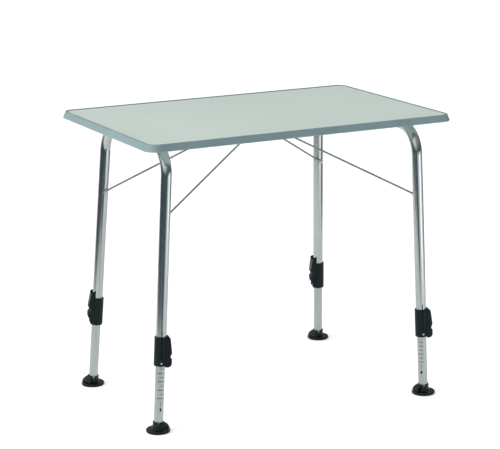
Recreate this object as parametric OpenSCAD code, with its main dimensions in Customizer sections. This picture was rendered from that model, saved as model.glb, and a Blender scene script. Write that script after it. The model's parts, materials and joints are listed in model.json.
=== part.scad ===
// Camping table with a one-piece top, two folding U-shaped leg frames,
// telescoping legs with thumb clamps, saucer feet and two wire stays.
// Origin: centre of the table on the floor. +X along the top's length, +Y across, +Z up.
// "left" is -X, "right" is +X, "front" is -Y and "rear" is +Y.

/* [Table top] */
// Length of the top over the edge trim
top_length = 800; // [760:5:900]
// Width of the top over the edge trim
top_width = 520; // [510:5:640]
// Height of the top's rim above the floor, legs as stored
top_height = 686; // [686:1:690]
// Height of the edge trim
trim_height = 16.5; // [15.5:0.5:19]
// Distance that the trim's outer face leans in from bottom to top
trim_lean = 6; // [4:0.5:7]
// Outside corner radius of the top
corner_radius = 30; // [28:1:50]
// Thickness of the table board
board_thickness = 12; // [10:0.5:12]

/* [Leg frames] */
// Distance of the left fold axis from the middle of the table
left_pivot_x = 314.5; // [312:0.5:316]
// Distance of the right fold axis from the middle of the table
right_pivot_x = 309; // [308:0.5:312]
// Height of the fold axes
pivot_z = 657; // [656:0.5:657]
// Outward lean of the left frame
left_splay = 3.9; // [3:0.1:4]
// Outward lean of the right frame
right_splay = 1.5; // [1.5:0.1:2.5]
// Half width of the left frame at its fold axis
left_half_width = 170.5; // [165:0.5:170.5]
// Half width of the right frame at its fold axis
right_half_width = 233; // [232.5:0.5:234]
// Angle that each left leg spreads sideways
left_spread = 1.9; // [1:0.1:1.9]
// Angle that each right leg spreads sideways
right_spread = 2.2; // [2.2:0.1:2.6]
// Outside diameter of the frame tube
frame_tube_d = 25; // [24.8:0.1:25]
// Outside diameter of the sliding lower tube
lower_tube_d = 22; // [21.8:0.1:22]
// Wall thickness of both tubes
tube_wall = 1.2; // [1:0.1:1.2]
// Centre-line radius of the frame's two bends
bend_radius = 65; // [55:1:72]
// Length of the left frame's legs from the fold axis to the tube's end
left_leg_length = 498; // [470:1:500]
// Length of the right frame's legs from the fold axis to the tube's end
right_leg_length = 509; // [480:1:512]
// Length of lower tube hidden inside the frame tube
lower_tube_hidden = 120; // [100:1:140]

/* [Clamps] */
// Height of the clamp collar
collar_height = 69; // [64:1:70]
// Outside diameter of the clamp collar
collar_d = 31; // [31:0.5:32]
// Length of the thumb slider
slider_length = 71; // [66:1:72]
// Reach of the front legs' thumb sliders from the leg's axis
front_slider_reach = 26; // [25.5:0.5:29]
// Reach of the rear legs' thumb sliders from the leg's axis
rear_slider_reach = 23; // [22.5:0.5:26]
// Travel of the thumb slider from locked to free
slider_travel = 16; // [12:0.5:16]
// Turn of the front legs' clamps about their legs
front_clamp_turn = -16; // [-20:1:0]
// Turn of the rear legs' clamps about their legs
rear_clamp_turn = -16; // [-20:1:0]

/* [Stays and feet] */
// Distance of the stay rivets below the fold axis, along the frame
stay_drop = 164; // [150:1:170]
// Diameter of the stay wire
wire_d = 4.5; // [4:0.1:5]
// Half length of the stays' cross pieces under the table
stay_half_bar = 36; // [32:1:38]
// Diameter of a foot
foot_d = 57; // [54:1:57]
// Height of a foot's socket
foot_height = 24; // [22:1:25]

/* [Hidden] */
$fn = 48;
LEFT = -1;
RIGHT = 1;
FRONT = -1;
REAR = 1;

over = 1;
rim_lip_height = 2;
rim_lip_width = 4;
board_top_z = top_height - rim_lip_height;
board_under_z = board_top_z - board_thickness;
trim_bottom_z = top_height - trim_height;
trim_inner_reach = 22;
board_inset = 8;

frame_r = frame_tube_d / 2;
frame_bore_r = frame_r - tube_wall;
lower_r = lower_tube_d / 2;
lower_bore_r = lower_r - tube_wall;
fit_gap = 0.05;
bend_swell = 0.06;
wire_swell = 0.03;
slide_gap = 0.3;

// Saddle brackets under the board
bracket_width = 26;
bracket_wall = 3.6;
bracket_foot_reach = 32;
bracket_foot_height = 3.2;
bracket_screw_reach = 25;
left_bracket_y = 70;
right_bracket_y = 112;

// Wood screws
screw_shank_r = 1.6;
screw_hole_r = 1.75;
screw_head_r = 3.6;
screw_head_height = 2.2;
screw_bite = 8;

// Catch for the two stays in the middle of the board
stay_bar_x = 9;
wire_r = wire_d / 2;
stay_bar_z = board_under_z - 9.5;
catch_width = 44;
catch_reach = 15.5;
catch_base_height = 4.6;
catch_flange_reach = 34;
catch_hook_drop = 5.3;

// Clamp collar and thumb slider, measured from the collar's bottom on the leg's axis
collar_r = collar_d / 2;
collar_lip = 4;
rail_bottom = 5;
rail_top = collar_height - 3;
rail_base = collar_r / 2;
rail_face = 17;
rail_half_width = 9.5;
rail_lip_half_width = 11.4;
rail_lip_thickness = 1.7;
window_half_width = 5.2;
slot_width = 2.2;
slot_bottom = 14;
slot_top = collar_height + 14;
key_width = 1.8;
key_outer = frame_r + 0.4;
recess_floor_r = frame_r + 1.3;
collar_rivet_height = 8;
collar_rivet_r = 1.5;
slider_half_width = 13.5;
slider_core_start = frame_r + 0.4;
slider_low = -1.5;
core_bottom = rail_bottom - slider_low + 0.5;
core_height = 44;
notch_height = 24.5;
notch_radius = 7.2;

// Stay rivets
stay_rivet_r = 2.5;
stay_rivet_head_r = 4.6;
stay_rivet_head_height = 1.4;
eye_r = 6;
eye_thickness = 2.4;
eye_gap = 1;
stay_first_run = 15;

// Feet
foot_r = foot_d / 2;
foot_rim_height = 7.5;
socket_r = 13.6;
socket_floor = 6;

// Values that differ between the two leg frames
function pivot_x(side) = side == LEFT ? left_pivot_x : right_pivot_x;
function splay(side) = side == LEFT ? left_splay : right_splay;
function spread(side) = side == LEFT ? left_spread : right_spread;
function half_width(side) = side == LEFT ? left_half_width : right_half_width;
function leg_length(side) = side == LEFT ? left_leg_length : right_leg_length;
function bracket_y(side) = side == LEFT ? left_bracket_y : right_bracket_y;
function clamp_turn(end) = end == FRONT ? front_clamp_turn : 180 + rear_clamp_turn;
function hood_turn(side, end) =
    side == LEFT ? (end == FRONT ? -28 : 152) : (end == FRONT ? 128 : 152);
function slider_reach(end) = end == FRONT ? front_slider_reach : rear_slider_reach;
// Front sliders are pushed down and rear sliders stand up
function slider_height(end) = end == FRONT ? slider_low : slider_low + slider_travel;

// Distance along a leg from the fold axis to the floor
function floor_reach(side) = pivot_z / cos(splay(side)) / cos(spread(side));
// Where a leg's axis meets the floor
function foot_x(side) = side * (pivot_x(side) + pivot_z * tan(splay(side)));
function foot_y(side, end) =
    end * (half_width(side) + pivot_z / cos(splay(side)) * tan(spread(side)));
// Stay pivot, seen along Y, and the leg's half width there
function stay_x(side) = side * (pivot_x(side) + stay_drop * sin(splay(side)));
function stay_z(side) = pivot_z - stay_drop * cos(splay(side));
function stay_leg_y(side) = half_width(side) + stay_drop * tan(spread(side));
function eye_y(side) = stay_leg_y(side) - frame_r - eye_gap - eye_thickness / 2;
function stay_length(side) =
    norm([abs(stay_x(side)) - stay_bar_x, stay_bar_z - stay_z(side)]);
function stay_angle(side) =
    atan2(stay_bar_z - stay_z(side), abs(stay_x(side)) - stay_bar_x);

// Points on an arc, for outlines
function arc(centre, r, from, to, steps = 8) =
    [for (i = [0:steps]) let (a = from + (to - from) * i / steps)
        centre + r * [cos(a), sin(a)]];

// Plain rounded outline with its centre at the origin
module rounded_rectangle(length, width, r) {
    x = length / 2 - r;
    y = width / 2 - r;
    union() {
        square([length, width - 2 * r], center = true);
        square([length - 2 * r, width], center = true);
        for (sx = [-1, 1], sy = [-1, 1])
            translate([sx * x, sy * y]) circle(r);
    }
}

// Round bar of radius r along flat points, each inner corner bent to its own radius.
// The bends are thicker by swell, and the straight runs reach a little into them.
module bent_bar(points, radii, r, swell, extra = 0) {
    last = len(points) - 1;
    function heading(i) = let (d = points[i + 1] - points[i]) atan2(d[1], d[0]);
    function turn(i) = let (t = heading(i) - heading(i - 1))
        t > 180 ? t - 360 : t < -180 ? t + 360 : t;
    function cut(i) = i == 0 || i == last ? -extra : radii[i] * tan(abs(turn(i)) / 2) - 10 * swell;
    for (i = [0:last - 1])
        translate(points[i])
            rotate([0, 0, heading(i)])
                translate([cut(i), 0, 0])
                    rotate([0, 90, 0])
                        cylinder(r = r, h = norm(points[i + 1] - points[i]) - cut(i) - cut(i + 1));
    for (i = [1:last - 1]) {
        way = sign(turn(i));
        start = heading(i - 1) - way * 90;
        centre = points[i]
            - radii[i] * tan(abs(turn(i)) / 2) * [cos(heading(i - 1)), sin(heading(i - 1))]
            - radii[i] * [cos(start), sin(start)];
        translate(centre)
            rotate([0, 0, way > 0 ? start : start + turn(i)])
                rotate_extrude(angle = abs(turn(i)), $fn = 96)
                    translate([radii[i], 0]) circle(r + swell, $fn = 48);
    }
}

// Puts a child, drawn flat with X across and Y up, into the plane of a leg frame
module in_frame(side) {
    translate([side * pivot_x(side), 0, pivot_z])
        rotate([0, -side * splay(side), 0])
            children();
}

// Puts a child on a leg's axis, its origin at the fold axis and the leg along -Z
module on_leg(side, end) {
    in_frame(side)
        translate([0, end * half_width(side), 0])
            rotate([end * spread(side), 0, 0])
                children();
}

// Puts a child on a leg's collar, with the slider towards its own +X
module on_collar(side, end) {
    on_leg(side, end)
        translate([0, 0, -leg_length(side) - collar_lip])
            rotate([0, 0, clamp_turn(end)])
                children();
}

// Section of the edge trim, X outward from the corner's centre and Y up from the rim
module trim_section() {
    outer = corner_radius;
    top = outer - trim_lean;
    lip = top - rim_lip_width;
    polygon(concat(
        [[outer - trim_inner_reach, -trim_height], [outer - 1.5, -trim_height]],
        arc([outer - 1.5, 1.5 - trim_height], 1.5, -80, 10, 5),
        arc([top - 1, -1.5], 1.5, 20, 90, 5),
        arc([lip + 1, -1], 1, 90, 180, 4),
        [
            [lip, -rim_lip_height],
            [outer - board_inset, -rim_lip_height],
            [outer - board_inset, -rim_lip_height - board_thickness],
            [outer - trim_inner_reach, -rim_lip_height - board_thickness],
        ]
    ));
}

module screw_positions() {
    for (side = [LEFT, RIGHT], end = [FRONT, REAR], reach = [-1, 1])
        translate([side * pivot_x(side) + reach * bracket_screw_reach, end * bracket_y(side), 0])
            children();
}

module catch_screw_positions() {
    for (reach = [-1, 1])
        translate([reach * (catch_flange_reach - 8), 0, 0])
            children();
}

// Board, laid in the trim's groove, with blind pilot holes from below
module table_board() {
    color("#c5d1ca")
    difference() {
        translate([0, 0, board_under_z])
            linear_extrude(board_thickness)
                rounded_rectangle(top_length - 2 * board_inset, top_width - 2 * board_inset,
                    corner_radius - board_inset);
        translate([0, 0, board_under_z - over]) {
            screw_positions() cylinder(r = screw_hole_r, h = screw_bite + 2 * over);
            catch_screw_positions() cylinder(r = screw_hole_r, h = screw_bite + 2 * over);
        }
    }
}

// Moulded frame round the board: four straight runs and four corners
module edge_trim() {
    x = top_length / 2 - corner_radius;
    y = top_width / 2 - corner_radius;
    color("#7d9297")
    translate([0, 0, top_height])
    union() {
        for (end = [FRONT, REAR])
            translate([-x, end * y, 0])
                rotate([90, 0, 90])
                    linear_extrude(2 * x) scale([end, 1]) trim_section();
        for (side = [LEFT, RIGHT])
            translate([side * x, -y, 0])
                rotate([90, 0, 0])
                    mirror([0, 0, 1])
                        linear_extrude(2 * y) scale([side, 1]) trim_section();
        for (corner = [[1, 1, 0], [-1, 1, 90], [-1, -1, 180], [1, -1, 270]])
            translate([corner[0] * x, corner[1] * y, 0])
                rotate([0, 0, corner[2]])
                    rotate_extrude(angle = 90, $fn = 96) trim_section();
    }
}

// Saddle that holds a frame's cross tube under the board
module bracket(side, end) {
    ring_r = frame_r + slide_gap + bracket_wall;
    rise = board_under_z - pivot_z;
    color("#22282a")
    translate([side * pivot_x(side), end * bracket_y(side), pivot_z])
    difference() {
        union() {
            translate([-bracket_foot_reach, -bracket_width / 2, rise - bracket_foot_height])
                cube([2 * bracket_foot_reach, bracket_width, bracket_foot_height]);
            intersection() {
                union() {
                    rotate([90, 0, 0])
                        cylinder(r = ring_r, h = bracket_width, center = true, $fn = 96);
                    translate([-ring_r, -bracket_width / 2, 0])
                        cube([2 * ring_r, bracket_width, rise]);
                }
                translate([-ring_r, -bracket_width / 2, -ring_r])
                    cube([2 * ring_r, bracket_width, ring_r + rise]);
            }
            for (y = [-bracket_width / 2, bracket_width / 2 - 3], way = [-1, 1])
                translate([0, y, 0])
                    rotate([90, 0, 0])
                        mirror([0, 0, 1])
                            linear_extrude(3)
                                polygon([[way * (ring_r - 1), 0], [way * (ring_r - 1), rise - 1],
                                    [way * (bracket_foot_reach - 3), rise - 1],
                                    [way * (bracket_foot_reach - 3), rise - 4]]);
        }
        rotate([90, 0, 0])
            cylinder(r = frame_r + slide_gap, h = bracket_width + 2 * over, center = true, $fn = 96);
        for (way = [-1, 1])
            translate([way * bracket_screw_reach, 0, 0])
                cylinder(r = screw_hole_r, h = rise + over);
    }
}

// Pan-head screw, its head's seat at the origin and its shank upwards
module screw() {
    cylinder(r = screw_shank_r, h = screw_bite + bracket_foot_height - 0.5);
    translate([0, 0, -screw_head_height])
        difference() {
            cylinder(r1 = screw_head_r - 0.8, r2 = screw_head_r, h = screw_head_height);
            for (turn = [0, 90])
                rotate([0, 0, turn])
                    translate([-2, -0.4, -over]) cube([4, 0.8, over + 1]);
        }
}

module bracket_screws() {
    color("#b9bec0")
    translate([0, 0, board_under_z - bracket_foot_height])
        screw_positions() screw();
}

module catch_screws() {
    color("#b9bec0")
    translate([0, 0, board_under_z - bracket_foot_height])
        catch_screw_positions() screw();
}

// Catch with two hooks. Each hook holds one stay's cross piece from its outer side.
module stay_catch() {
    color("#22282a")
    difference() {
        union() {
            translate([-catch_flange_reach, -9, board_under_z - bracket_foot_height])
                cube([2 * catch_flange_reach, 18, bracket_foot_height]);
            translate([-catch_reach, -catch_width / 2, board_under_z - catch_base_height])
                cube([2 * catch_reach, catch_width, catch_base_height]);
            // Land between the two cross pieces
            translate([-stay_bar_x + wire_r + 1, -catch_width / 2, stay_bar_z + wire_r - 0.3])
                cube([2 * (stay_bar_x - wire_r - 1), catch_width, 9.5 - wire_r + 0.3]);
            for (way = [-1, 1])
                hook_block(way);
        }
        for (way = [-1, 1])
            translate([way * stay_bar_x, 0, stay_bar_z])
                rotate([90, 0, 0])
                    cylinder(r = wire_r + slide_gap, h = catch_width + 2 * over, center = true);
        catch_screw_positions()
            translate([0, 0, board_under_z - 10]) cylinder(r = screw_hole_r, h = 20);
    }
}

module hook_block(way) {
    lip_end = stay_bar_x + 0.8;
    rotate([90, 0, 0])
        translate([0, 0, -catch_width / 2])
            linear_extrude(catch_width)
                polygon([
                    [way * catch_reach, board_under_z - 1],
                    [way * catch_reach, stay_bar_z - catch_hook_drop + 2],
                    [way * (catch_reach - 2), stay_bar_z - catch_hook_drop],
                    [way * lip_end, stay_bar_z - catch_hook_drop + 1],
                    [way * lip_end, board_under_z - 1],
                ]);
}

// Bent tube of one leg frame, hollow, slotted and drilled
module frame(side) {
    low_y = half_width(side) + leg_length(side) * sin(spread(side));
    low_z = -leg_length(side) * cos(spread(side));
    points = [[-low_y, low_z], [-half_width(side), 0], [half_width(side), 0], [low_y, low_z]];
    radii = [0, bend_radius, bend_radius, 0];
    color("#b4bfc1")
    difference() {
        in_frame(side) rotate([90, 0, 90]) bent_bar(points, radii, frame_r, bend_swell);
        in_frame(side) rotate([90, 0, 90]) bent_bar(points, radii, frame_bore_r, bend_swell, over);
        for (end = [FRONT, REAR]) {
            on_collar(side, end) {
                translate([-slot_width / 2, -frame_r - over, slot_bottom])
                    cube([slot_width, frame_r + over, slot_top - slot_bottom]);
                translate([0, 0, collar_rivet_height])
                    rotate([90, 0, 0]) cylinder(r = collar_rivet_r + fit_gap, h = frame_r + over);
            }
            translate([stay_x(side), end * (stay_leg_y(side) - frame_r / 2), stay_z(side)])
                rotate([90, 0, 0])
                    cylinder(r = stay_rivet_r + fit_gap, h = frame_r + 2 * over, center = true);
        }
    }
}

// Collar with a T-shaped rail for the thumb slider
module collar(side, end) {
    color("#1f2527")
    on_collar(side, end) {
        collar_key();
        difference() {
            union() {
                rotate_extrude($fn = 96)
                    polygon(concat(
                        [[0, 0], [collar_r - 2.5, 0]],
                        arc([collar_r - 2.5, 2.5], 2.5, -70, 0, 4),
                        arc([collar_r - 1, collar_height - 1], 1, 0, 90, 4),
                        [[0, collar_height]]
                    ));
                collar_rail();
            }
            translate([0, 0, -over]) cylinder(r = frame_bore_r, h = collar_height + 2 * over, $fn = 96);
            translate([0, 0, collar_lip])
                cylinder(r = frame_r + fit_gap, h = collar_height, $fn = 96);
            // Opening that the slider's core reaches through
            translate([0, -window_half_width, rail_bottom])
                cube([rail_face + over, 2 * window_half_width, collar_height]);
            collar_recesses();
            translate([0, 0, collar_rivet_height])
                rotate([90, 0, 0]) cylinder(r = collar_rivet_r + fit_gap, h = collar_r + over);
        }
    }
}

module collar_rail() {
    translate([rail_base, -rail_half_width, rail_bottom])
        cube([rail_face - rail_base, 2 * rail_half_width, rail_top - rail_bottom]);
    translate([rail_face - rail_lip_thickness, -rail_lip_half_width, rail_bottom])
        cube([rail_lip_thickness, 2 * rail_lip_half_width, rail_top - rail_bottom]);
}

// Marks sunk into the collar's wall: an upright line, a top notch, a slanted line and a window
module collar_recesses() {
    line = 1.2;
    window_z = 23;
    difference() {
        union() {
            translate([-line / 2, -collar_r - over, window_z])
                cube([line, collar_r, collar_height]);
            translate([-2, -collar_r - over, collar_height - 6])
                cube([4, collar_r, collar_height]);
            translate([0, 0, window_z])
                rotate([90, 0, 0])
                    linear_extrude(collar_r + over)
                        union() {
                            rotate(-42) square([19, line], center = true);
                            rotate(-12) square([8, 5.4], center = true);
                        }
        }
        translate([0, 0, -over]) cylinder(r = recess_floor_r, h = 3 * collar_height, $fn = 96);
    }
}

// Key that stands in the frame tube's slot and keeps the collar from turning
module collar_key() {
    translate([-key_width / 2, -key_outer, slot_bottom + over])
        cube([key_width, key_outer - lower_r - slide_gap, slot_top - slot_bottom - 2 * over]);
}

module rivet(shank_r, shank, head_r, head) {
    translate([0, 0, -shank]) cylinder(r = shank_r, h = shank + 0.2);
    intersection() {
        cylinder(r = head_r, h = head);
        translate([0, 0, head - head_r * 1.6]) sphere(head_r * 1.6);
    }
}

module collar_rivets(side) {
    color("#d5dadb")
    for (end = [FRONT, REAR])
        on_collar(side, end)
            translate([0, -collar_r, collar_rivet_height])
                rotate([90, 0, 0])
                    rivet(collar_rivet_r, collar_r - frame_bore_r, 2.3, 1.1);
}

// Section of the thumb slider, X outward from the leg's axis
module slider_section(reach) {
    corner = 7;
    polygon(concat(
        arc([reach - corner, slider_half_width - corner], corner, 0, 90),
        [[9, slider_half_width], [9, -slider_half_width]],
        arc([reach - corner, corner - slider_half_width], corner, -90, 0)
    ));
}

// Side outline of the thumb slider: rounded head, thumb notch and nose
module slider_outline(reach) {
    head = reach - 5.5;
    difference() {
        polygon(concat(
            [[6, 0], [reach - 7.5, 0]],
            arc([reach - 9, 10], 9, -60, 8),
            [[reach, 15], [reach - 0.5, notch_height + 6.5]],
            arc([head - 6, slider_length - 6], 6, 5, 95),
            [[6, slider_length]]
        ));
        translate([reach + 2.5, notch_height]) circle(notch_radius);
    }
}

// Thumb slider of a clamp: it wraps the collar's rail and slides along the leg.
// A core inside it reaches through the collar's opening to press on the tube.
module slider(side, end) {
    color("#262c2e")
    on_collar(side, end) {
        difference() {
            translate([0, 0, slider_height(end)])
                intersection() {
                    rotate([90, 0, 0])
                        translate([0, 0, -slider_half_width - over])
                            linear_extrude(2 * (slider_half_width + over)) slider_outline(slider_reach(end));
                    linear_extrude(slider_length) slider_section(slider_reach(end));
                }
            // Room for the collar and its rail over the whole travel
            translate([0, 0, -2 * collar_height])
                linear_extrude(4 * collar_height)
                    union() {
                        circle(collar_r + slide_gap, $fn = 96);
                        rail_room();
                    }
        }
        core_half_width = window_half_width - slide_gap;
        translate([slider_core_start, -core_half_width, slider_height(end) + core_bottom])
            cube([rail_face + over - slider_core_start, 2 * core_half_width, core_height]);
    }
}

module rail_room() {
    translate([rail_base, -rail_half_width - slide_gap])
        square([rail_face - rail_base + slide_gap, 2 * (rail_half_width + slide_gap)]);
    translate([rail_face - rail_lip_thickness - slide_gap, -rail_lip_half_width - slide_gap])
        square([rail_lip_thickness + 2 * slide_gap, 2 * (rail_lip_half_width + slide_gap)]);
}

// Lower tube: from the foot's socket floor up into the frame tube
module lower_tube(side, end) {
    top = leg_length(side) + collar_lip - lower_tube_hidden;
    bottom = floor_reach(side) - socket_floor;
    color("#bcc6c7")
    on_leg(side, end)
    translate([0, 0, -bottom])
        difference() {
            cylinder(r = lower_r, h = bottom - top, $fn = 96);
            translate([0, 0, -over]) cylinder(r = lower_bore_r, h = bottom - top + 2 * over, $fn = 96);
        }
}

module tube_plug(side, end) {
    top = leg_length(side) + collar_lip - lower_tube_hidden;
    color("#2a2f31")
    on_leg(side, end)
    translate([0, 0, -top])
        difference() {
            union() {
                cylinder(r = lower_r, h = 3, $fn = 96);
                translate([0, 0, -14]) cylinder(r = lower_bore_r - fit_gap, h = 14.5, $fn = 96);
            }
            translate([0, 0, -15]) cylinder(r = lower_bore_r - 2.2, h = 13, $fn = 96);
        }
}

// Saucer, leaning socket and the hood on one side of it
module foot(side, end) {
    color("#15191a")
    difference() {
        union() {
            translate([foot_x(side), foot_y(side, end), 0]) {
                foot_saucer();
                rotate([0, 0, hood_turn(side, end) - 80]) foot_hood();
            }
            intersection() {
                on_leg(side, end)
                    translate([0, 0, -floor_reach(side) - 3])
                        cylinder(r = socket_r, h = foot_height + 3, $fn = 96);
                translate([foot_x(side) - foot_r, foot_y(side, end) - foot_r, 1])
                    cube([2 * foot_r, 2 * foot_r, 2 * foot_height]);
            }
        }
        on_leg(side, end)
            translate([0, 0, -floor_reach(side) + socket_floor])
                cylinder(r = lower_r + fit_gap, h = foot_height + 10, $fn = 96);
        on_leg(side, end)
            for (turn = [0:90:270])
                rotate([0, 0, turn + 70])
                    translate([0, -1.6, foot_height - floor_reach(side) - 6])
                        cube([socket_r + 1.2, 3.2, 20]);
    }
}

module foot_saucer() {
    rotate_extrude($fn = 96)
        polygon(concat(
            [[0, 0], [foot_r - 2.5, 0]],
            arc([foot_r - 2.5, 2.5], 2.5, -70, 0, 4),
            arc([foot_r - 3.5, foot_rim_height - 3.5], 3.5, 0, 75, 5),
            [[foot_r - 9, foot_rim_height + 0.6]],
            arc([socket_r + 4.6, foot_rim_height + 5.2], 4.2, 270, 190, 5),
            [[0, foot_rim_height + 6]]
        ));
}

module foot_hood() {
    rotate_extrude(angle = 160, $fn = 96)
        polygon(concat(
            [[2, 1], [foot_r - 1.5, 3]],
            arc([foot_r - 18.2, foot_rim_height - 3.5], 17.6, 12, 72, 6),
            [[socket_r, foot_height - 0.6], [2, foot_height - 0.6]]
        ));
}

// Wire stay with two flat eyes, as it is clipped into the catch
module stay(side) {
    length = stay_length(side);
    y = eye_y(side);
    bar_turn = 90 - atan2(y - stay_half_bar, length - stay_first_run);
    points = [
        [0, y], [stay_first_run, y], [length, stay_half_bar],
        [length, -stay_half_bar], [stay_first_run, -y], [0, -y],
    ];
    color("#9aa1a4")
    translate([stay_x(side), 0, stay_z(side)])
    rotate([0, side * stay_angle(side), 0])
    mirror([side == RIGHT ? 1 : 0, 0, 0])
    difference() {
        union() {
            bent_bar(points, [0, 20, 9, 9, 20, 0], wire_r, wire_swell);
            for (way = [-1, 1])
                translate([0, way * y, 0])
                    rotate([90, 0, 0])
                        cylinder(r = eye_r, h = eye_thickness, center = true);
        }
        for (way = [-1, 1])
            translate([0, way * y, 0])
                rotate([90, 0, 0])
                    cylinder(r = stay_rivet_r + fit_gap, h = 4 * wire_d, center = true);
        // Flats that the eyes are pressed to
        for (way = [-1, 1], face = [-1, 1])
            translate([-eye_r - over, way * y + face * (eye_thickness / 2 + 2) - 2, -eye_r])
                cube([2 * eye_r + over, 4, 2 * eye_r]);
    }
}

module stay_rivets(side) {
    inner = eye_y(side) - eye_thickness / 2 - 0.3;
    outer = stay_leg_y(side) - frame_bore_r + 2.6;
    color("#d5dadb")
    for (end = [FRONT, REAR])
        translate([stay_x(side), end * inner, stay_z(side)])
            rotate([end * 90, 0, 0]) {
                rivet(stay_rivet_r, outer - inner, stay_rivet_head_r, stay_rivet_head_height);
                translate([0, 0, inner - outer]) cylinder(r = 3.4, h = 1);
            }
}

table_board();
edge_trim();
stay_catch();
bracket(LEFT, FRONT);  // bracket_left_front
bracket(LEFT, REAR);  // bracket_left_rear
bracket(RIGHT, FRONT);  // bracket_right_front
bracket(RIGHT, REAR);  // bracket_right_rear
bracket_screws();
catch_screws();
frame(LEFT);  // frame_left
frame(RIGHT);  // frame_right
collar(LEFT, FRONT);  // collar_left_front
collar(LEFT, REAR);  // collar_left_rear
collar(RIGHT, FRONT);  // collar_right_front
collar(RIGHT, REAR);  // collar_right_rear
collar_rivets(LEFT);  // collar_rivets_left
collar_rivets(RIGHT);  // collar_rivets_right
stay_rivets(LEFT);  // stay_rivets_left
stay_rivets(RIGHT);  // stay_rivets_right
stay(LEFT);  // stay_left
stay(RIGHT);  // stay_right
slider(LEFT, FRONT);  // slider_left_front
slider(LEFT, REAR);  // slider_left_rear
slider(RIGHT, FRONT);  // slider_right_front
slider(RIGHT, REAR);  // slider_right_rear
lower_tube(LEFT, FRONT);  // lower_tube_left_front
lower_tube(LEFT, REAR);  // lower_tube_left_rear
lower_tube(RIGHT, FRONT);  // lower_tube_right_front
lower_tube(RIGHT, REAR);  // lower_tube_right_rear
tube_plug(LEFT, FRONT);  // tube_plug_left_front
tube_plug(LEFT, REAR);  // tube_plug_left_rear
tube_plug(RIGHT, FRONT);  // tube_plug_right_front
tube_plug(RIGHT, REAR);  // tube_plug_right_rear
foot(LEFT, FRONT);  // foot_left_front
foot(LEFT, REAR);  // foot_left_rear
foot(RIGHT, FRONT);  // foot_right_front
foot(RIGHT, REAR);  // foot_right_rear
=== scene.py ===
"""Camping table: camera, light, finishes and fine details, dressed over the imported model."""
import json
import math

import bmesh
import bpy
from mathutils import Matrix, Vector


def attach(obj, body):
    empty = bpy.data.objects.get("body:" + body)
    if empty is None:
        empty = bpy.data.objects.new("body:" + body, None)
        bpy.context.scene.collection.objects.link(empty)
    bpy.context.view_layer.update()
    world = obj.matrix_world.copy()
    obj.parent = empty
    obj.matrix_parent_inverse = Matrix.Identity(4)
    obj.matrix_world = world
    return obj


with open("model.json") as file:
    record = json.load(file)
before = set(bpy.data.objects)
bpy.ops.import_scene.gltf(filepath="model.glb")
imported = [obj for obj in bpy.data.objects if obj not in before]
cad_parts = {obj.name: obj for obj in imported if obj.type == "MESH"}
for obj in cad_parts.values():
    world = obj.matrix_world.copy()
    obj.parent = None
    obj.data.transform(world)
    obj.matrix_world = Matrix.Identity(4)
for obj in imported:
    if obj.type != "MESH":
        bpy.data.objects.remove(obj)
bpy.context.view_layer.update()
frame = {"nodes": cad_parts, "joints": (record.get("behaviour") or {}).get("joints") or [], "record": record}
nodes = frame["nodes"]
joints = {joint["name"]: joint for joint in frame["joints"]}


class Finish:
    """A node material with one shader and helpers for its pattern."""

    def __init__(self, name, colour, roughness, metallic=0.0, coat=0.0, coat_roughness=0.1,
                 specular=0.5):
        self.material = bpy.data.materials.new(name)
        self.material.use_nodes = True
        self.tree = self.material.node_tree
        self.shader = self.tree.nodes["Principled BSDF"]
        self.set(self.shader, {
            "Base Color": (*colour, 1.0), "Roughness": roughness, "Metallic": metallic,
            "Coat Weight": coat, "Coat Roughness": coat_roughness,
            "Specular IOR Level": specular,
        })

    @staticmethod
    def set(node, values):
        for socket, value in values.items():
            node.inputs[socket].default_value = value

    def add(self, kind, values=None, **properties):
        node = self.tree.nodes.new(kind)
        for key, value in properties.items():
            setattr(node, key, value)
        self.set(node, values or {})
        return node

    def link(self, source, target):
        self.tree.links.new(source, target)

    def place(self, scale=(1, 1, 1), turn=(0, 0, 0)):
        """Object coordinates, stretched and turned for a pattern."""
        coordinates = self.add("ShaderNodeTexCoord")
        mapping = self.add("ShaderNodeMapping", {"Scale": scale, "Rotation": turn})
        self.link(coordinates.outputs["Object"], mapping.inputs["Vector"])
        return mapping.outputs["Vector"]

    def noise(self, scale, detail=3.0, stretch=(1, 1, 1), turn=(0, 0, 0), rough=0.5):
        texture = self.add("ShaderNodeTexNoise",
                           {"Scale": scale, "Detail": detail, "Roughness": rough})
        self.link(self.place(stretch, turn), texture.inputs["Vector"])
        return texture.outputs["Fac"]

    def ramp(self, value, low, high, dark, light):
        """Colour between dark and light as value goes from low to high."""
        ramp = self.add("ShaderNodeValToRGB")
        ramp.color_ramp.elements[0].position = low
        ramp.color_ramp.elements[0].color = (*dark, 1.0)
        ramp.color_ramp.elements[1].position = high
        ramp.color_ramp.elements[1].color = (*light, 1.0)
        self.link(value, ramp.inputs["Fac"])
        return ramp.outputs["Color"]

    def vary_roughness(self, value, low, high):
        spread = self.add("ShaderNodeMapRange", {"To Min": low, "To Max": high})
        self.link(value, spread.inputs["Value"])
        self.link(spread.outputs["Result"], self.shader.inputs["Roughness"])

    def bump(self, height, strength, distance, under=None):
        bump = self.add("ShaderNodeBump", {"Strength": strength, "Distance": distance})
        self.link(height, bump.inputs["Height"])
        if under is not None:
            self.link(under, bump.inputs["Normal"])
        self.link(bump.outputs["Normal"], self.shader.inputs["Normal"])
        return bump.outputs["Normal"]

    def soften_edges(self, radius):
        """Small rounding of the hard edges in the shading."""
        bevel = self.add("ShaderNodeBevel", {"Radius": radius}, samples=4)
        return bevel.outputs["Normal"]


def shade(colour, factor):
    return tuple(min(1.0, channel * factor) for channel in colour)


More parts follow.
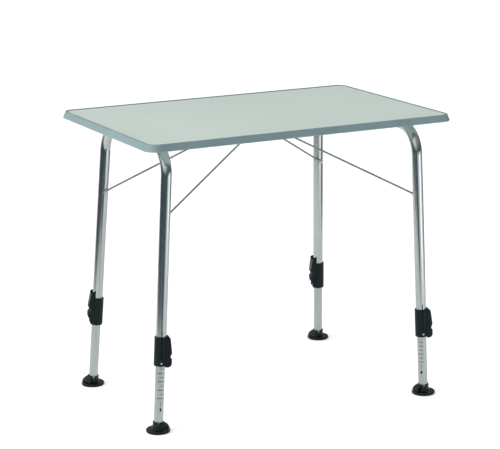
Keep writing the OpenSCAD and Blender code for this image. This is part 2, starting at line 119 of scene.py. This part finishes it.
def board_laminate():
    """Pale grey-green laminate: faint clouds, fine speckle and a light pebble grain."""
    colour = (0.635, 0.74, 0.685)
    finish = Finish("board_laminate", colour, 0.5, specular=0.3)
    clouds = finish.noise(3.0, detail=4.0)
    speckle = finish.noise(900.0, detail=2.0)
    base = finish.ramp(clouds, 0.35, 0.65, shade(colour, 0.975), shade(colour, 1.02))
    spots = finish.ramp(speckle, 0.36, 0.62, (0.93, 0.935, 0.935), (1.0, 1.0, 1.0))
    mix = finish.add("ShaderNodeMix", data_type="RGBA", blend_type="MULTIPLY")
    mix.inputs[0].default_value = 1.0
    finish.link(base, mix.inputs[6])
    finish.link(spots, mix.inputs[7])
    finish.link(mix.outputs[2], finish.shader.inputs["Base Color"])
    finish.vary_roughness(clouds, 0.44, 0.56)
    finish.bump(finish.noise(1500.0, detail=2.0), 0.12, 0.0002)
    return finish.material


def edge_moulding():
    """Blue-grey moulded edge with a fine satin grain."""
    colour = (0.175, 0.262, 0.285)
    finish = Finish("edge_moulding", colour, 0.4, coat=0.15, coat_roughness=0.3)
    clouds = finish.noise(14.0, detail=4.0)
    base = finish.ramp(clouds, 0.3, 0.7, shade(colour, 0.93), shade(colour, 1.07))
    finish.link(base, finish.shader.inputs["Base Color"])
    finish.vary_roughness(clouds, 0.34, 0.46)
    finish.bump(finish.noise(1800.0, detail=2.0), 0.15, 0.0002, finish.soften_edges(0.0006))
    return finish.material


def drawn_tube(name, colour, roughness):
    """Satin drawn aluminium: fine lines along the tube and soft clouds."""
    finish = Finish(name, colour, roughness, metallic=1.0)
    lines = finish.noise(420.0, detail=3.0, stretch=(1.0, 1.0, 0.012))
    clouds = finish.noise(9.0, detail=3.0)
    base = finish.ramp(lines, 0.3, 0.7, shade(colour, 0.96), shade(colour, 1.03))
    finish.link(base, finish.shader.inputs["Base Color"])
    finish.vary_roughness(clouds, roughness - 0.03, roughness + 0.04)
    finish.bump(lines, 0.02, 0.0001)
    return finish.material


def bright_wire():
    """Zinc-plated wire with a faint drawn streak."""
    colour = (0.27, 0.27, 0.285)
    finish = Finish("bright_wire", colour, 0.38, metallic=1.0)
    streaks = finish.noise(260.0, detail=3.0, stretch=(0.06, 0.3, 0.3))
    base = finish.ramp(streaks, 0.3, 0.7, shade(colour, 0.8), shade(colour, 1.15))
    finish.link(base, finish.shader.inputs["Base Color"])
    finish.vary_roughness(streaks, 0.3, 0.45)
    return finish.material


def bright_rivet():
    """Bright zinc plating with small pits."""
    colour = (0.46, 0.49, 0.49)
    finish = Finish("bright_rivet", colour, 0.28, metallic=1.0)
    pits = finish.noise(1100.0, detail=2.0)
    base = finish.ramp(pits, 0.3, 0.7, shade(colour, 0.85), shade(colour, 1.05))
    finish.link(base, finish.shader.inputs["Base Color"])
    finish.bump(pits, 0.1, 0.0001)
    return finish.material


def black_moulding(name, colour, roughness, coat, grain):
    """Black moulded plastic with an eroded-texture grain and softened edges."""
    finish = Finish(name, colour, roughness, coat=coat, coat_roughness=0.12, specular=0.2)
    finish.set(finish.shader, {"Specular Tint": (0.7, 0.95, 1.0, 1.0)})
    clouds = finish.noise(60.0, detail=4.0)
    base = finish.ramp(clouds, 0.3, 0.7, shade(colour, 0.85), shade(colour, 1.2))
    finish.link(base, finish.shader.inputs["Base Color"])
    finish.vary_roughness(clouds, roughness - 0.06, roughness + 0.08)
    finish.bump(finish.noise(1400.0, detail=2.0), grain, 0.0002, finish.soften_edges(0.0008))
    return finish.material


def printed_ink():
    """Black printed marks, slightly uneven where the ink is thin."""
    colour = (0.008, 0.01, 0.01)
    finish = Finish("printed_ink", colour, 0.6, specular=0.15)
    wear = finish.noise(1600.0, detail=2.0)
    base = finish.ramp(wear, 0.3, 0.75, colour, (0.03, 0.034, 0.034))
    finish.link(base, finish.shader.inputs["Base Color"])
    return finish.material


FINISHES = {
    "board": board_laminate(),
    "trim": edge_moulding(),
    "tube": drawn_tube("satin_tube", (0.37, 0.41, 0.405), 0.36),
    "frame_tube": drawn_tube("polished_tube", (0.365, 0.41, 0.41), 0.2),
    "stay_wire": bright_wire(),
    "bright_steel": bright_rivet(),
    "clamp_plastic": black_moulding("clamp_nylon", (0.0035, 0.006, 0.0075), 0.45, 0.0, 0.35),
    "fitting_plastic": black_moulding("fitting_nylon", (0.012, 0.014, 0.015), 0.5, 0.0, 0.4),
    "foot_plastic": black_moulding("foot_gloss", (0.003, 0.005, 0.0055), 0.2, 0.1, 0.05),
}
INK = printed_ink()

SLOT_OF = {entry["node"]: entry["material_slot"] for entry in frame["record"]["subparts"]}
for name, piece in nodes.items():
    look = "frame_tube" if name.startswith("frame_") else SLOT_OF[name]
    piece.data.materials.clear()
    piece.data.materials.append(FINISHES[look])


def new_piece(name, material, body, build):
    """A mesh piece from a bmesh builder, riding on a body."""
    mesh = bpy.data.meshes.new(name)
    shape = bmesh.new()
    build(shape)
    shape.to_mesh(mesh)
    shape.free()
    mesh.materials.append(material)
    piece = bpy.data.objects.new(name, mesh)
    bpy.context.scene.collection.objects.link(piece)
    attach(piece, body)
    return piece


# Printed height scales, in metres
TICK_PITCH = 0.01
INK_LIFT = 0.00006


class TubeSurface:
    """Places on a leg's lower tube: metres down the leg from its top end, and degrees round it
    from the front, positive towards +X."""

    def __init__(self, leg):
        axis = next(joint["axis"] for name, joint in joints.items()
                    if name == f"extend_{leg}_leg")
        self.down = Vector(axis).normalized()
        points = [vertex.co.copy() for vertex in nodes[f"lower_tube_{leg}"].data.vertices]
        heights = [point.dot(self.down) for point in points]
        top = [point for point, h in zip(points, heights) if h < min(heights) + 1e-4]
        self.front = Vector((0, -1, 0))
        self.front = (self.front - self.front.dot(self.down) * self.down).normalized()
        self.side = self.front.cross(self.down)
        if self.side.x < 0:
            self.side = -self.side
        self.top = self.down * min(heights)
        for direction in (self.front, self.side):
            reach = [point.dot(direction) for point in top]
            self.top += direction * (min(reach) + max(reach)) / 2
        self.radius = max((point - self.top).length for point in top)

    def at(self, along, angle, lift):
        turn = math.radians(angle)
        out = math.cos(turn) * self.front + math.sin(turn) * self.side
        return self.top + self.down * along + out * (self.radius + lift)


def add_patch(shape, surface, along, angles, widths, lift=INK_LIFT, thickness=0.00005):
    """Thin curved patch on a tube: half widths along the leg at each angle round it."""
    rings = []
    for angle, width in zip(angles, widths):
        rings.append([shape.verts.new(surface.at(along + end * width, angle, lift + rise))
                      for end, rise in ((-1, 0), (-1, thickness), (1, thickness), (1, 0))])
    for a, b in zip(rings, rings[1:]):
        for k in range(4):
            shape.faces.new((a[k], a[(k + 1) % 4], b[(k + 1) % 4], b[k]))
    shape.faces.new(rings[0])
    shape.faces.new(reversed(rings[-1]))


def add_tick(shape, surface, along, start, end, half_width=0.00075, steps=8):
    angles = [start + (end - start) * k / steps for k in range(steps + 1)]
    add_patch(shape, surface, along, angles, [half_width] * len(angles))


def add_drop(shape, surface, along, middle, half_turn=13.0, half_height=0.0056, steps=10):
    """Pointed drop, narrow at its top: rows of short ticks would show steps, so it is one fan."""
    rings = []
    for k in range(steps + 1):
        part = k / steps
        wide = half_turn * math.sin(math.pi * part ** 1.6) + 0.4
        rings.append([shape.verts.new(surface.at(along + half_height * (2 * part - 1),
                                                 middle + side * wide, lift))
                      for side, lift in ((-1, INK_LIFT), (-1, 0.00011), (0, 0.00014),
                                         (1, 0.00011), (1, INK_LIFT))])
    for a, b in zip(rings, rings[1:]):
        for k in range(5):
            shape.faces.new((a[k], a[(k + 1) % 5], b[(k + 1) % 5], b[k]))
    shape.faces.new(rings[0])
    shape.faces.new(reversed(rings[-1]))


def height_scale(leg, first, count, long_first, long_turn, short_turn, line_turn):
    """Ticks 10 mm apart down the lower tube, then a thin line and a drop."""
    surface = TubeSurface(leg)
    lower_end = first + TICK_PITCH * (count - 1)

    def build(shape):
        for k in range(count):
            turn = long_turn if k % 2 == long_first else short_turn
            add_tick(shape, surface, first + TICK_PITCH * k, *turn)
        add_patch(shape, surface, lower_end + 0.0125, [line_turn - 2.6, line_turn + 2.6],
                  [0.005, 0.005])
        add_drop(shape, surface, lower_end + 0.0254, line_turn)
        bmesh.ops.recalc_face_normals(shape, faces=shape.faces[:])

    new_piece(f"height_scale_{leg}", INK, f"{leg}_lower_leg", build)


height_scale("left_front", 0.126, 8, 1, (-52, 25), (-15, 25), -5)
height_scale("right_front", 0.133, 6, 1, (-72, -15), (-64, -22), -48)


def aim_camera():
    """The photograph's viewpoint: a long lens from the front left, looking slightly down."""
    yaw, pitch, roll = (math.radians(a) for a in (-27.781, 13.729, -0.306))
    forward = Vector((-math.sin(yaw) * math.cos(pitch), math.cos(yaw) * math.cos(pitch),
                      -math.sin(pitch)))
    level = Vector((math.cos(yaw), math.sin(yaw), 0))
    up = level.cross(forward)
    right = math.cos(roll) * level + math.sin(roll) * up
    up = math.cos(roll) * up - math.sin(roll) * level
    data = bpy.data.cameras.new("camera")
    data.sensor_width = 36.0
    data.lens = 128.84
    data.clip_end = 100.0
    camera = bpy.data.objects.new("camera", data)
    turn = Matrix((right, up, -forward)).transposed().to_4x4()
    camera.matrix_world = Matrix.Translation((-1.9888, -3.7461, 1.4444)) @ turn
    bpy.context.scene.collection.objects.link(camera)
    bpy.context.scene.camera = camera


def stage_plane(name, corners, finish):
    """A flat four-cornered piece of the studio."""
    mesh = bpy.data.meshes.new(name)
    mesh.from_pydata(corners, [], [(0, 1, 2, 3)])
    mesh.materials.append(finish.material)
    plane = bpy.data.objects.new(name, mesh)
    bpy.context.scene.collection.objects.link(plane)
    return plane


def lay_floor():
    """White floor, softly lit from below as a light table is, so its shadows stay faint."""
    reach = 40.0
    finish = Finish("floor", (0.88, 0.88, 0.88), 0.9, specular=0.1)
    clouds = finish.noise(2.0)
    finish.link(finish.ramp(clouds, 0.3, 0.7, (0.875, 0.875, 0.875), (0.885, 0.885, 0.885)),
                finish.shader.inputs["Base Color"])
    finish.set(finish.shader, {"Emission Color": (1, 1, 1, 1), "Emission Strength": FLOOR_GLOW})
    stage_plane("floor", [(-reach, -reach, 0), (reach, -reach, 0), (reach, reach, 0),
                          (-reach, reach, 0)], finish)


def dark_card(name, corners):
    """Dark card that only reflections see: it draws the dark stripes on the tubes."""
    card = stage_plane(name, corners, CARD)
    card.visible_camera = False
    card.visible_diffuse = False
    card.visible_shadow = False


def upright(start, end, height):
    return [(*start, 0.002), (*end, 0.002), (*end, height), (*start, height)]


def raise_backdrop():
    """Far white walls that only the camera sees, for views from close to the floor."""
    far = 39.0
    finish = Finish("backdrop", (0.5, 0.5, 0.5), 0.9, specular=0.0)
    finish.link(finish.ramp(finish.noise(0.2), 0.3, 0.7, (0.49, 0.49, 0.49), (0.51, 0.51, 0.51)),
                finish.shader.inputs["Base Color"])
    finish.set(finish.shader, {"Emission Color": (1, 1, 1, 1), "Emission Strength": 1.0})
    corners = [(-far, -far), (far, -far), (far, far), (-far, far)]
    for start, end in zip(corners, corners[1:] + corners[:1]):
        wall = stage_plane("backdrop", upright(start, end, 30.0), finish)
        wall.visible_diffuse = False
        wall.visible_glossy = False
        wall.visible_shadow = False


def soft_box(name, place, target, size, power, mirrored=True, colour=(1, 1, 1)):
    """Lamp panel that the camera never sees, and that mirrors see only where mirrored is set."""
    data = bpy.data.lights.new(name, "AREA")
    data.shape = "RECTANGLE"
    data.size, data.size_y = size
    data.energy = power
    lamp = bpy.data.objects.new(name, data)
    look = Vector(target) - Vector(place)
    lamp.matrix_world = (Matrix.Translation(place)
                         @ look.to_track_quat("-Z", "Y").to_matrix().to_4x4())
    lamp.visible_camera = False
    lamp.visible_glossy = mirrored
    data.color = colour
    bpy.context.scene.collection.objects.link(lamp)


def light_sky(high, left):
    """Soft light from above that fades evenly to the horizon, stronger from the left."""
    world = bpy.data.worlds.new("studio")
    bpy.context.scene.world = world
    world.use_nodes = True
    tree = world.node_tree

    def math_node(operation, a, b, clamp=False):
        node = tree.nodes.new("ShaderNodeMath")
        node.operation = operation
        node.use_clamp = clamp
        for socket, value in zip(node.inputs, (a, b)):
            if isinstance(value, float):
                socket.default_value = value
            else:
                tree.links.new(value, socket)
        return node.outputs["Value"]

    coordinates = tree.nodes.new("ShaderNodeTexCoord")
    split = tree.nodes.new("ShaderNodeSeparateXYZ")
    tree.links.new(coordinates.outputs["Object"], split.inputs["Vector"])
    above = math_node("MULTIPLY", split.outputs["Z"], 3.0, clamp=True)
    leftward = math_node("MULTIPLY", split.outputs["X"], -1.0, clamp=True)
    side = math_node("MULTIPLY", math_node("MULTIPLY", above, leftward), left)
    sky = math_node("MULTIPLY", math_node("MULTIPLY", split.outputs["Z"], 1.0, clamp=True), high)
    background = tree.nodes["Background"]
    background.inputs["Color"].default_value = (1.0, 1.0, 1.0, 1.0)
    tree.links.new(math_node("ADD", sky, side), background.inputs["Strength"])


FLOOR_GLOW = 0.35
CARD = Finish("card", (0.11, 0.14, 0.165), 0.9, specular=0.0)
CARD.link(CARD.ramp(CARD.noise(3.0), 0.3, 0.7, (0.10, 0.13, 0.155), (0.12, 0.15, 0.175)),
          CARD.shader.inputs["Base Color"])

aim_camera()
lay_floor()
raise_backdrop()
light_sky(0.85, 1.5)
# Cards stand left, front and right of the table, and one lies on the floor before it
dark_card("card_left", upright((-1.5, 1.6), (-1.5, -1.6), 0.75))
dark_card("card_front", upright((-1.5, -1.6), (-0.2, -1.6), 0.6))
dark_card("card_floor", [(-1.5, -1.6, 0.003), (-0.2, -1.6, 0.003), (-0.2, -1.1, 0.003),
                         (-1.5, -1.1, 0.003)])
dark_card("card_right", upright((1.5, -0.4), (1.5, 1.6), 0.75))
soft_box("front_panel", (1.0, -1.5, 0.3), (0.0, 0.0, 0.3), (0.7, 0.55), 2.6)
soft_box("left_fill", (-2.3, 0.1, 1.0), (-0.4, 0.0, 0.65), (0.6, 1.4), 26.0, mirrored=False,
         colour=(1.0, 0.88, 0.8))
bpy.context.scene.view_settings.view_transform = "Standard"
